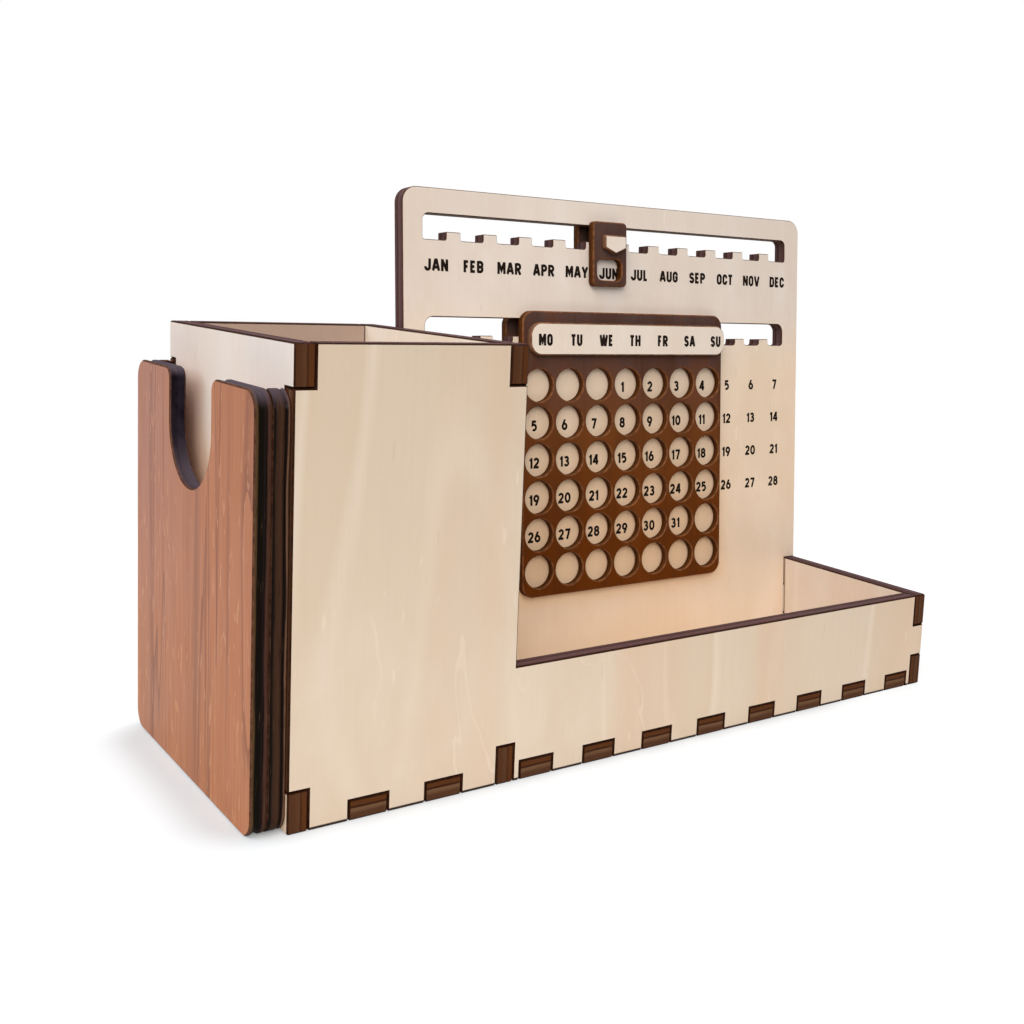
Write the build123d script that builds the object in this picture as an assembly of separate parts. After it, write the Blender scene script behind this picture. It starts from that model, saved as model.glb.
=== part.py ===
"""Desk organiser with a perpetual calendar: laser-cut plywood sheets with finger joints.

X runs to the right, Y to the back and Z up, in millimetres. The sheets are drawn from the
lower front left corner of the pen box, and the export moves them so that the origin is the
middle of the footprint. The calendar leans back, so its pieces are drawn on its own plane:
u runs along X, v up the panel, and depths are counted towards the viewer.
"""
import os
from math import ceil, cos, radians, sin, tan

from build123d import *

# sheets
ply = 5.0
tab = 10.0
tab_pitch = 20.0

# pen box and tray
width = 219.0
depth = 85.5
box_height = 111.3
tray_height = 30.2
divider_x = 55.0

# calendar panel
lean = 4.2
panel_foot_y = 58.4
panel_height = 152.2
panel_corner = 4.6
panel_left = divider_x + ply
panel_tabs = [(22.0, 37.0), (72.0, 87.0)]

# toothed slots: middle, pitch and number of places, tooth width, the heights of the foot,
# the tooth tops and the roof, and the radii of the roof's and the notches' corners
month_slot = dict(
    middle=139.3, pitch=12.54, places=12, tooth=4.85,
    low=137.3, tooth_top=139.75, high=144.8, roof_corner=2.0, notch_corner=0.7,
)
date_slot = dict(
    middle=139.3, pitch=11.45, places=13, tooth=4.5,
    low=107.5, tooth_top=109.65, high=115.0, roof_corner=2.6, notch_corner=1.1,
)

# card pocket on the left wall
pocket_layer = 4.15
pocket_front_y = 0.9
pocket_length = 85.2
pocket_height = 101.0
pocket_strip = 5.0
pocket_corner = 5.0
notch_radius = 15.1
notch_depth = 28.0
notch_mouth = 3.0

# sliders
play = 0.3
plate = 2.8
trim = 2.4
tongue_width = 5.0
tag_u = 131.8
tag_width, tag_low, tag_high, tag_corner = 13.4, 125.7, 146.1, 1.5
window_shift, window_width, window_low, window_high, window_corner = -0.2, 9.5, 127.6, 134.3, 2.0
arrow_shift, arrow_width, arrow_tip, arrow_shoulder, arrow_top = 0.5, 8.4, 135.9, 137.7, 141.7
rear_tag_low, rear_tag_high = 133.0, 148.0
date_u = 139.2
date_width, date_low, date_high, date_corner = 81.0, 28.8, 117.4, 4.0
window_radius = 5.1
week_pitch = 11.6
first_week = 94.6
header_shift, header_width, header_low, header_high = 0.3, 78.7, 103.8, 113.8
rear_date_width, rear_date_low, rear_date_high = 82.6, 104.0, 116.3

slope = radians(lean)


def rect(x0, y0, x1, y1):
    """A rectangle between two corners."""
    return Pos((x0 + x1) / 2, (y0 + y1) / 2) * Rectangle(x1 - x0, y1 - y0)


def rounded(x0, y0, x1, y1, radius):
    return Pos((x0 + x1) / 2, (y0 + y1) / 2) * RectangleRounded(x1 - x0, y1 - y0, radius)


def joined(shape, pieces):
    for piece in pieces:
        shape = shape + piece
    return shape


def cut(shape, pieces):
    for piece in pieces:
        shape = shape - piece
    return shape


def tab_starts(start, length):
    """Where the tabs of one edge begin: as many as fit, centred on the edge."""
    count = ceil((length + tab_pitch - tab) / tab_pitch) - 1
    margin = (length - count * tab_pitch + tab_pitch - tab) / 2
    return [start + margin + n * tab_pitch for n in range(count)]


pen_front_tabs = tab_starts(ply, divider_x - ply)
pen_side_tabs = tab_starts(ply, depth - 2 * ply)
tray_front_tabs = tab_starts(panel_left, width - ply - panel_left)
tray_right_tabs = tab_starts(ply, panel_foot_y - ply)
tray_left_tabs = [y + tab for y in pen_side_tabs[:2]]


def facing_front(shape, y, thickness=ply):
    """Stand a sheet drawn in X and Z with its front face at y."""
    return extrude(Plane.XZ.offset(-y - thickness) * shape, thickness)


def facing_side(shape, x, thickness=ply):
    """Stand a sheet drawn in Y and Z with its left face at x."""
    return extrude(Plane.YZ.offset(x) * shape, thickness)


def on_panel(shape, front, thickness):
    """Place a sheet drawn in u and v so that its front face is this far before the panel."""
    plane = Plane((0, panel_foot_y, 0), x_dir=(1, 0, 0), z_dir=(0, -cos(slope), sin(slope)))
    return extrude(plane.offset(front - thickness) * shape, thickness)


def panel_section(v0, v1):
    """The leaning panel's thickness between two heights, drawn in Y and Z."""
    corners = []
    for v, back in [(v0, 0), (v1, 0), (v1, ply), (v0, ply)]:
        y = panel_foot_y + v * sin(slope) + back * cos(slope)
        z = v * cos(slope) - back * sin(slope)
        corners.append((y, z))
    return make_face(Polyline(*corners, close=True))


def corner_notches(x0, x1, height):
    """Where a wall's end fingers pass through the sheet that it meets, top and bottom."""
    return [rect(x0, 0, x1, tab), rect(x0, height - tab, x1, height)]


def base_notches(starts):
    return [rect(start, 0, start + tab, ply) for start in starts]


def front_panel():
    shape = rect(0, 0, panel_left, box_height) + rect(0, 0, width, tray_height)
    shape = cut(shape, corner_notches(0, ply, box_height))
    shape = cut(shape, corner_notches(divider_x, panel_left, box_height))
    shape = cut(shape, corner_notches(width - ply, width, tray_height))
    shape = cut(shape, base_notches(pen_front_tabs + tray_front_tabs))
    return facing_front(shape, 0)


def pen_side(x, notches, slots=()):
    """A side wall of the pen box, with a finger at each end of its two upright edges."""
    shape = rect(0, 0, depth, box_height)
    shape -= rect(0, tab, ply, box_height - tab)
    shape -= rect(depth - ply, tab, depth, box_height - tab)
    return facing_side(cut(cut(shape, notches), slots), x)


def left_wall():
    return pen_side(0, base_notches(pen_side_tabs))


def divider_wall():
    slots = [panel_section(v0, v1) for v0, v1 in panel_tabs]
    return pen_side(divider_x, base_notches(pen_side_tabs + tray_left_tabs), slots)


def pen_back_wall():
    shape = rect(0, 0, panel_left, box_height)
    shape = cut(shape, corner_notches(0, ply, box_height))
    shape = cut(shape, corner_notches(divider_x, panel_left, box_height))
    return facing_front(cut(shape, base_notches(pen_front_tabs)), depth - ply)


def pen_box_base():
    shape = rect(ply, ply, divider_x, depth - ply)
    shape = joined(shape, [rect(x, 0, x + tab, depth) for x in pen_front_tabs])
    shape = joined(shape, [rect(0, y, panel_left, y + tab) for y in pen_side_tabs])
    return extrude(shape, ply)


def tray_base():
    """The tray's floor; its left tabs go between those of the pen box's floor."""
    rear = panel_foot_y + ply / cos(slope)
    shape = rect(panel_left, ply, width - ply, panel_foot_y)
    shape = joined(shape, [rect(x, 0, x + tab, rear) for x in tray_front_tabs])
    shape = joined(shape, [rect(divider_x, y, width - ply, y + tab) for y in tray_left_tabs])
    shape = joined(shape, [rect(width - 2 * ply, y, width, y + tab) for y in tray_right_tabs])
    return extrude(shape, ply)


def right_end_panel():
    """The tray's end wall; its rear edge and rear fingers follow the calendar's lean."""
    top_y = panel_foot_y + tray_height * tan(slope)
    face = make_face(
        Polyline((0, 0), (panel_foot_y, 0), (top_y, tray_height), (0, tray_height), close=True)
    )
    face -= rect(0, tab, ply, tray_height - tab)
    face = cut(face, base_notches(tray_right_tabs))
    top_v = tray_height / cos(slope)
    face += panel_section(ply * tan(slope), tab) & rect(0, 0, depth, tray_height)
    face += panel_section(top_v - tab, top_v)
    return facing_side(face, width - ply)


def slot_reach(slot):
    """Half the length of a slot: whole notches at both ends and teeth between the places."""
    return (slot["places"] * slot["pitch"] - slot["tooth"]) / 2


def toothed_slot(slot):
    """A long slot with a tooth between each two places along its lower edge."""
    middle, low = slot["middle"], slot["low"]
    reach = slot_reach(slot)
    shape = rect(middle - reach, low, middle + reach, slot["high"])
    for n in range(slot["places"] - 1):
        u = middle + (n - (slot["places"] - 2) / 2) * slot["pitch"]
        shape -= rect(u - slot["tooth"] / 2, low, u + slot["tooth"] / 2, slot["tooth_top"])
    shape = fillet(shape.vertices().group_by(Axis.Y)[-1], slot["roof_corner"])
    return fillet(shape.vertices().group_by(Axis.Y)[0], slot["notch_corner"])


def calendar_panel():
    foot = ply * tan(slope)
    shape = rect(panel_left, foot, width, panel_height)
    top_corners = shape.vertices().group_by(Axis.Y)[-1]
    shape = fillet(top_corners, panel_corner)
    shape = joined(shape, [rect(divider_x, v0, panel_left + ply, v1) for v0, v1 in panel_tabs])
    floor_top = (ply + ply * sin(slope)) / cos(slope)
    shape = cut(shape, [rect(x, 0, x + tab, floor_top) for x in tray_front_tabs])
    shape = cut(shape, corner_notches(width - ply, width, tray_height / cos(slope)))
    shape = cut(shape, [toothed_slot(month_slot), toothed_slot(date_slot)])
    return on_panel(shape, 0, ply)


def pocket_outline():
    rear = pocket_front_y + pocket_length
    return rounded(pocket_front_y, 0, rear, pocket_height, pocket_corner)


def card_spacer():
    rear = pocket_front_y + pocket_length
    pocket = rect(
        pocket_front_y + pocket_strip, pocket_strip, rear - pocket_strip, pocket_height + 1
    )
    return facing_side(pocket_outline() - pocket, -pocket_layer, pocket_layer)


def card_front_panel():
    middle = pocket_front_y + pocket_length / 2
    round_z = pocket_height - notch_depth + notch_radius
    notch = Pos(middle, round_z) * Circle(notch_radius)
    notch += rect(middle - notch_radius, round_z, middle + notch_radius, pocket_height + 1)
    shape = pocket_outline() - notch
    mouth = shape.vertices().filter_by_position(
        Axis.X, middle - notch_radius - 0.1, middle + notch_radius + 0.1
    )
    shape = fillet(mouth.group_by(Axis.Y)[-1], notch_mouth)
    return facing_side(shape, -2 * pocket_layer, pocket_layer)


plate_front = play + plate
rear_face = -ply - play


def tongue(u, slot):
    """A block through the slot, rounded above to fit its ends, that clears the teeth."""
    half = tongue_width / 2
    shape = rect(u - half, slot["tooth_top"] + play, u + half, slot["high"] - play)
    shape = fillet(shape.vertices().group_by(Axis.Y)[-1], slot["roof_corner"] - play)
    return on_panel(shape, play, ply + 2 * play)


def month_tag():
    half = tag_width / 2
    shape = rounded(tag_u - half, tag_low, tag_u + half, tag_high, tag_corner)
    left = tag_u + window_shift - window_width / 2
    shape -= rounded(left, window_low, left + window_width, window_high, window_corner)
    return on_panel(shape, plate_front, plate)


def month_arrow():
    half = arrow_width / 2
    middle = tag_u + arrow_shift
    points = [
        (middle - half, arrow_top),
        (middle + half, arrow_top),
        (middle + half, arrow_shoulder),
        (middle, arrow_tip),
        (middle - half, arrow_shoulder),
    ]
    return on_panel(make_face(Polyline(*points, close=True)), plate_front + trim, trim)


def month_rear_plate():
    half = tag_width / 2
    shape = rounded(tag_u - half, rear_tag_low, tag_u + half, rear_tag_high, tag_corner)
    return on_panel(shape, rear_face, plate)


def date_plate():
    """The plate with a round window for each day of six weeks."""
    half = date_width / 2
    shape = rounded(date_u - half, date_low, date_u + half, date_high, date_corner)
    for week in range(6):
        for day in range(-3, 4):
            place = Pos(date_u + day * date_slot["pitch"], first_week - week * week_pitch)
            shape -= place * Circle(window_radius)
    return on_panel(shape, plate_front, plate)


def date_header():
    left = date_u + header_shift - header_width / 2
    shape = rounded(left, header_low, left + header_width, header_high, 4.0)
    return on_panel(shape, plate_front + trim, trim)


def date_tongue(day):
    return tongue(date_u + day * date_slot["pitch"], date_slot)


def date_rear_plate():
    half = rear_date_width / 2
    shape = rounded(date_u - half, rear_date_low, date_u + half, rear_date_high, 3.0)
    return on_panel(shape, rear_face, plate)


footprint_middle = Pos(pocket_layer - width / 2, -(pocket_front_y + pocket_length) / 2, 0)
pieces = {
    "front_panel": front_panel(),
    "left_wall": left_wall(),
    "divider_wall": divider_wall(),
    "pen_back_wall": pen_back_wall(),
    "pen_box_base": pen_box_base(),
    "tray_base": tray_base(),
    "right_end_panel": right_end_panel(),
    "calendar_panel": calendar_panel(),
    "card_spacer": card_spacer(),
    "card_front_panel": card_front_panel(),
    "month_tag": month_tag(),
    "month_arrow": month_arrow(),
    "month_tongue": tongue(tag_u, month_slot),
    "month_rear_plate": month_rear_plate(),
    "date_plate": date_plate(),
    "date_header": date_header(),
    "date_tongue_left": date_tongue(-3),
    "date_tongue_right": date_tongue(3),
    "date_rear_plate": date_rear_plate(),
}

os.makedirs("parts", exist_ok=True)
for name, piece in pieces.items():
    export_step(footprint_middle * piece, f"parts/{name}.step")
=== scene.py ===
"""A desk organiser with a perpetual calendar, cut from thin plywood: its finished sheets, its
lettering and its stage."""

import math

import bpy
from bpy.props import FloatProperty, FloatVectorProperty, PointerProperty
from mathutils import Matrix, Vector


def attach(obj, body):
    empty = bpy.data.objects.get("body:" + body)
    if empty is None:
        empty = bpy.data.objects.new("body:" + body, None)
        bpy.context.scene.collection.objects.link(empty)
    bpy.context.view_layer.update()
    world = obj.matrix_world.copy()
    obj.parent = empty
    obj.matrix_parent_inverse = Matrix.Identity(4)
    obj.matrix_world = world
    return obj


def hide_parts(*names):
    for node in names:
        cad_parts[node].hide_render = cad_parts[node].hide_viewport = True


bl_info = {
    "name": "Desk organiser with perpetual calendar",
    "version": (1, 0, 0),
    "blender": (4, 5, 0),
    "location": "View3D > Sidebar > Organiser",
    "description": "Finishes the plywood sheets of a desk organiser and letters its calendar",
    "category": "Object",
}

MM = 0.001
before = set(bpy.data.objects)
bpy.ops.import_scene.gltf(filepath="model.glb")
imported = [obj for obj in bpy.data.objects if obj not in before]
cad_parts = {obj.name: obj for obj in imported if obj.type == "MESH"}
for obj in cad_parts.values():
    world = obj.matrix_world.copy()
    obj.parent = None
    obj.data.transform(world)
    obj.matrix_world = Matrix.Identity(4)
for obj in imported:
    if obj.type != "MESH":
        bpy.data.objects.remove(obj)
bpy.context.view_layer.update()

# ---------------------------------------------------------------- driving sizes
# in millimetres, from the left end and the front of the organiser
LEAN = math.radians(4.2)
LEFT_TO_ORIGIN = 105.35
FRONT_TO_ORIGIN = 43.05
PANEL_FOOT = 58.4
# how far the pocket's front edges lie behind the front; the right end, and how far in from it
# the scorched line along the calendar fades
POCKET_SETBACK = 5.0
RIGHT_END, SEAM_FADE = 219.0, 4.0
# the months, weekdays and days, across the calendar panel and up it
MONTH_MIDDLE, MONTH_PITCH, MONTH_NAME_HEIGHT = 139.7, 12.52, 130.0
DAY_MIDDLE, DAY_PITCH, WEEK_PITCH, FIRST_WEEK_HEIGHT = 139.2, 11.45, 11.6, 93.55
WEEKDAY_MIDDLE, WEEKDAY_PITCH, WEEKDAY_HEIGHT = 140.1, 11.53, 108.55

MONTHS = "JAN FEB MAR APR MAY JUN JUL AUG SEP OCT NOV DEC".split()
WEEKDAYS = "MO TU WE TH FR SA SU".split()
DAYS_IN_ROW, MIDDLE_COLUMN = 13, 7
LAST_DAY = 31
# each row of the calendar: the column that it starts in and the first day there
DAY_ROWS = [(7, 1), (1, 2), (1, 9), (1, 16), (1, 23), (1, 30)]

RIGHT, BACK, UP = Vector((1, 0, 0)), Vector((0, 1, 0)), Vector((0, 0, 1))
PANEL_BACK = Vector((0, math.cos(LEAN), -math.sin(LEAN)))
PANEL_UP = Vector((0, math.sin(LEAN), math.cos(LEAN)))
PANEL_ORIGIN = Vector((-LEFT_TO_ORIGIN, PANEL_FOOT - FRONT_TO_ORIGIN, 0)) * MM
POCKET_FRONT = (POCKET_SETBACK - FRONT_TO_ORIGIN) * MM
OUTER_END = (RIGHT_END - LEFT_TO_ORIGIN) * MM
INNER_END = OUTER_END - SEAM_FADE * MM


# ---------------------------------------------------------------- settings
def a_length(name, description, millimetres, precision=5):
    """A length that a user can change."""
    return FloatProperty(
        name=name,
        description=description,
        default=millimetres * MM,
        unit="LENGTH",
        precision=precision,
    )


def a_colour(name, description, *default):
    """A colour that a user can change, as linear values."""
    return FloatVectorProperty(name=name, description=description, default=default, subtype="COLOR")


def a_power(name, description, default):
    """The power of a lamp, in watts."""
    return FloatProperty(name=name, description=description, default=default, unit="POWER")


def a_share(name, description, default):
    """A share or a strength, without a unit."""
    return FloatProperty(name=name, description=description, default=default)


class PlywoodSettings(bpy.types.PropertyGroup):
    """The chamfer and the wood colours of the sheets"""

    rim: a_length("Rim", "Width of the scorched chamfer round each face", 0.4)
    birch: a_colour("Birch", "The pale face veneer", 0.745, 0.590, 0.435)
    walnut: a_colour("Walnut", "The reddish face veneer of the card pocket", 0.37, 0.125, 0.050)
    dark_walnut: a_colour("Dark walnut", "The dark plates of the sliders", 0.118, 0.034, 0.0075)
    burnt: a_colour("Burnt edge", "The laser-cut edges of the pale sheets", 0.088, 0.033, 0.013)


class LetteringSettings(bpy.types.PropertyGroup):
    """The sizes of the calendar's letters"""

    name_height: a_length("Name height", "Height of the month and weekday names", 3.7)
    number_height: a_length("Number height", "Height of the day numbers", 3.45)
    name_weight: a_share("Name weight", "Stroke of the names, as a share of their height", 0.235)
    number_weight: a_share("Number weight", "Stroke of the numbers, in the same way", 0.222)
    relief: a_length("Relief", "How far the burnt letters stand over the face", 0.025, 6)


class StageSettings(bpy.types.PropertyGroup):
    """The camera's lens, the floor and the lamps"""

    lens: FloatProperty(
        name="Lens",
        description="Focal length for a 36 mm wide picture",
        default=43.0192,
        unit="CAMERA",
    )
    floor_size: a_length("Floor size", "Width of the floor", 6000.0, 2)
    sky: a_share("Sky", "Strength of the even light", 0.355)
    top: a_power("Top lamp", "Power of the lamp overhead", 5.0)
    front: a_power("Front lamp", "Power of the wide lamp in front", 5.9)
    side: a_power("Side lamp", "Power of the high lamp on the left", 4.3)
    window: a_power("Window lamp", "Power of the cool lamp on the left", 7.2)


# ---------------------------------------------------------------- small helpers
def only(*objects):
    """Selects these objects and nothing else, and makes the first the active one."""
    bpy.ops.object.select_all(action="DESELECT")
    for obj in objects:
        obj.select_set(True)
    bpy.context.view_layer.objects.active = objects[0]


def edit(obj):
    """Opens the mesh in edit mode with all of it selected."""
    only(obj)
    bpy.ops.object.mode_set(mode="EDIT")
    bpy.ops.mesh.select_all(action="SELECT")


def done():
    """Goes back to object mode."""
    bpy.ops.object.mode_set(mode="OBJECT")


def edit_where(obj, chosen):
    """Opens the mesh in edit mode with only the vertices selected whose place is chosen."""
    edit(obj)
    bpy.ops.mesh.select_mode(type="VERT")
    bpy.ops.mesh.select_all(action="DESELECT")
    done()
    for vertex in obj.data.vertices:
        vertex.select = chosen(vertex.co)
    bpy.ops.object.mode_set(mode="EDIT")


def add_modifier(obj, kind, **values):
    """Adds a modifier, sets it and applies it."""
    only(obj)
    modifier = obj.modifiers.new(kind.title(), kind)
    for name, value in values.items():
        setattr(modifier, name, value)
    bpy.ops.object.modifier_apply(modifier=modifier.name)


def linear(red, green, blue):
    """A colour read as 0 to 255 on a screen, as the linear values that shaders take."""
    return tuple(
        (value / 255 / 12.92 if value <= 10 else ((value / 255 + 0.055) / 1.055) ** 2.4)
        for value in (red, green, blue)
    )


# ---------------------------------------------------------------- materials
class Shader:
    """A node material with one surface shader, built a node at a time."""

    def __init__(self, name):
        self.material = bpy.data.materials.new(name)
        self.material.use_nodes = True
        self.tree = self.material.node_tree
        self.surface = self.tree.nodes["Principled BSDF"]

    def node(self, kind, *inputs, **settings):
        """A new node; each input is a socket to link, a value, or None to leave it."""
        made = self.tree.nodes.new("ShaderNode" + kind)
        for name, value in settings.items():
            setattr(made, name, value)
        for index, value in enumerate(inputs):
            if isinstance(value, bpy.types.NodeSocket):
                self.tree.links.new(value, made.inputs[index])
            elif value is not None:
                made.inputs[index].default_value = value
        return made

    def sheet_place(self):
        """Where a point lies on its sheet: sideways, upwards, and as a share of the thickness."""
        return self.node("Attribute", attribute_name="sheet").outputs["Vector"]

    def object_place(self):
        return self.node("TexCoord").outputs["Object"]

    def facing(self):
        """The three parts of the way that a point's face looks."""
        return self.parts(self.node("NewGeometry").outputs["Normal"])

    def parts(self, vector):
        return self.node("SeparateXYZ", vector).outputs

    def maths(self, operation, *values, clamp=False):
        return self.node("Math", *values, operation=operation, use_clamp=clamp).outputs[0]

    def vectors(self, operation, *values):
        return self.node("VectorMath", *values, operation=operation).outputs

    def noise(self, vector, scale, detail, roughness, distortion=0.0):
        """Noise over a vector, which is first scaled along each axis unless scale is None."""
        if scale:
            vector = self.vectors("MULTIPLY", vector, scale)[0]
        made = self.node("TexNoise", vector, noise_dimensions="3D")
        made.inputs["Scale"].default_value = 1.0
        made.inputs["Detail"].default_value = detail
        made.inputs["Roughness"].default_value = roughness
        made.inputs["Distortion"].default_value = distortion
        return made.outputs["Fac"]

    def between(self, value, low, high, to_low=0.0, to_high=1.0):
        """A soft step from to_low, where the value is low, to to_high, where it is high."""
        made = self.node("MapRange", value, low, high, to_low, to_high, clamp=True)
        made.interpolation_type = "SMOOTHSTEP"
        return made.outputs[0]

    def mix(self, factor, first, second, blend="MIX"):
        made = self.tree.nodes.new("ShaderNodeMix")
        made.data_type = "RGBA"
        made.blend_type = blend
        for socket, value in ((0, factor), (6, first), (7, second)):
            if isinstance(value, bpy.types.NodeSocket):
                self.tree.links.new(value, made.inputs[socket])
            elif socket == 0:
                made.inputs[socket].default_value = value
            else:
                made.inputs[socket].default_value = (*value, 1.0)
        return made.outputs[2]

    def steps(self, value, *stops):
        """A ramp of colours, each given as its place and its colour."""
        made = self.node("ValToRGB", value)
        ramp = made.color_ramp
        while len(ramp.elements) < len(stops):
            ramp.elements.new(0.5)
        for element, (place, colour) in zip(ramp.elements, stops):
            element.position = place
            element.color = (*colour, 1.0)
        return made.outputs[0]

    def finish(self, colour, roughness, height=None, depth=0.0, shine=0.5):
        """Gives the surface its colour, roughness, relief and shine, and ends the material."""
        self.tree.links.new(colour, self.surface.inputs["Base Color"])
        self.surface.inputs["Specular IOR Level"].default_value = shine
        if isinstance(roughness, bpy.types.NodeSocket):
            self.tree.links.new(roughness, self.surface.inputs["Roughness"])
        else:
            self.surface.inputs["Roughness"].default_value = roughness
        if height is not None:
            bump = self.node("Bump")
            bump.inputs["Strength"].default_value = 1.0
            bump.inputs["Distance"].default_value = depth
            self.tree.links.new(height, bump.inputs["Height"])
            self.tree.links.new(bump.outputs[0], self.surface.inputs["Normal"])
        return self.material


def shade(colour, factor):
    return tuple(channel * factor for channel in colour)


def tint(colour, red, green, blue):
    return (colour[0] * red, colour[1] * green, colour[2] * blue)


# painted light on the pale calendar veneer: painted warm shade lower down and under the date plate,
# painted shade at its lower right and a cooler tone at the very bottom on the left. For each, what
# its tone is multiplied by, the heights between which the change sets in, and the places from left
# to right between which it does
CALENDAR_PAINTED_LIGHT = (
    ((1.05, 0.955, 0.82), (0.125, 0.095), None),
    ((0.91, 0.94, 0.98), (0.060, 0.030), (0.050, 0.100)),
    ((1.06, 0.96, 0.84), (0.105, 0.040), (0.084, 0.074)),
    ((0.945, 1.03, 1.17), (0.030, 0.022), (0.084, 0.074)),
)
# painted warm shade low on the left wall, where it shows through the pocket's notch
SIDE_PAINTED_SHADE = (((1.14, 1.0, 0.85), (0.095, 0.070), None),)


def birch_veneer(name, colour, figured=1.0, painted_light=(), inside=None, foot=False, seam=False):
    """Pale veneer: thin light arches, upright rosy bands, soft clouds and short light nicks.
    Painted light, as painted shade and warm bounce light from place to place, multiplies its
    tone, and so does painted shade on its inner face.
    Foot darkens it in a thin line along the bottom, and seam scorches it where the calendar meets
    it."""
    s = Shader(name)
    sheet = s.sheet_place()
    light = tint(colour, 1.06, 1.08, 1.13)
    warm = tint(colour, 0.985, 0.95, 0.90)
    rosy = tint(colour, 1.0, 0.90, 0.83)
    figure = s.noise(sheet, (15, 2.6, 0), 2.0, 0.4, 0.35)
    arch = s.maths("FRACT", s.maths("MULTIPLY", figure, 7.0))
    arches = s.steps(
        arch,
        (0.0, shade(light, 1.02)),
        (0.03, shade(light, 1.04)),
        (0.11, colour),
        (0.55, shade(colour, 0.99)),
        (0.93, shade(warm, 0.985)),
        (1.0, shade(light, 1.02)),
    )
    calm = s.noise(sheet, (11, 7, 0), 2.0, 0.5)
    clouds = s.noise(sheet, (42, 24, 0), 3.0, 0.55, 0.4)
    mottle = s.noise(sheet, (170, 90, 0), 2.0, 0.5, 0.6)
    tone = s.mix(s.between(clouds, 0.40, 0.62, 0.0, 0.8), colour, light)
    tone = s.mix(s.between(mottle, 0.45, 0.70, 0.0, 0.25), tone, warm)
    tone = s.mix(s.between(calm, 0.42, 0.62, 0.75 * figured, 0.15 * figured), tone, arches)
    bands = s.noise(sheet, (26, 1.3, 0), 2.0, 0.5, 0.3)
    tone = s.mix(s.between(bands, 0.50, 0.62, 0.0, 0.7 * figured), tone, rosy)
    grain = s.noise(sheet, (900, 22, 0), 3.0, 0.6)
    tone = s.mix(s.between(grain, 0.45, 0.8, 0.0, 0.06), tone, shade(warm, 0.72))
    leaning = s.node("Mapping", sheet, None, (0, 0, 0.16), (620, 95, 0)).outputs[0]
    nicks = s.noise(leaning, None, 1.0, 0.5, 0.2)
    groups = s.between(s.noise(sheet, (60, 22, 0), 1.0, 0.5), 0.48, 0.6)
    pale = s.maths("MULTIPLY", s.between(nicks, 0.68, 0.74, 0.0, 0.6), groups)
    tone = s.mix(pale, tone, shade(light, 1.08))
    tone = s.mix(s.between(nicks, 0.27, 0.21, 0.0, 0.3), tone, shade(warm, 0.75))
    wander = s.noise(sheet, (30, 13, 0), 3.5, 0.6, 0.8)
    wisp = s.maths("ABSOLUTE", s.maths("SUBTRACT", wander, 0.5))
    patch = s.between(s.noise(sheet, (24, 14, 0), 1.0, 0.5), 0.50, 0.60)
    wisps = s.maths("MULTIPLY", s.between(wisp, 0.003, 0.010, 0.5 * figured, 0.0), patch)
    tone = s.mix(wisps, tone, shade(light, 1.07))
    place = s.object_place()
    reach, _, height = s.parts(place)
    # painted light from place to place: painted shade and warm bounce light
    for change, heights, reaches in painted_light:
        share = s.between(height, *heights)
        if reaches:
            share = s.maths("MULTIPLY", s.between(reach, *reaches), share)
        tone = s.mix(share, tone, change, "MULTIPLY")
    # painted shade on the inner face
    if inside:
        across = s.parts(sheet)[2]
        tone = s.mix(s.between(across, 0.4, 0.6), tone, inside, "MULTIPLY")
    # a thin dark line along the bottom
    if foot:
        tone = s.mix(s.between(height, 0.0007, 0.0009, 1.0, 0.0), tone, (0.025, 0.010, 0.004))
    if seam:
        offset = s.vectors("SUBTRACT", place, tuple(PANEL_ORIGIN))[0]
        offset = s.vectors("DOT_PRODUCT", offset, tuple(PANEL_BACK))["Value"]
        gap = s.maths("ABSOLUTE", offset)
        facing = s.between(reach, INNER_END, OUTER_END, 0.8, 0.0)
        line = s.maths("MULTIPLY", s.between(gap, 0.0005, 0.0011, 1.0, 0.0), facing)
        tone = s.mix(line, tone, (0.20, 0.10, 0.06))
    rough = s.between(grain, 0.3, 0.7, 0.50, 0.60)
    relief = s.maths("ADD", s.maths("MULTIPLY", grain, 0.4), nicks)
    return s.finish(tone, rough, relief, 0.00005, 0.3)


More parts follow.
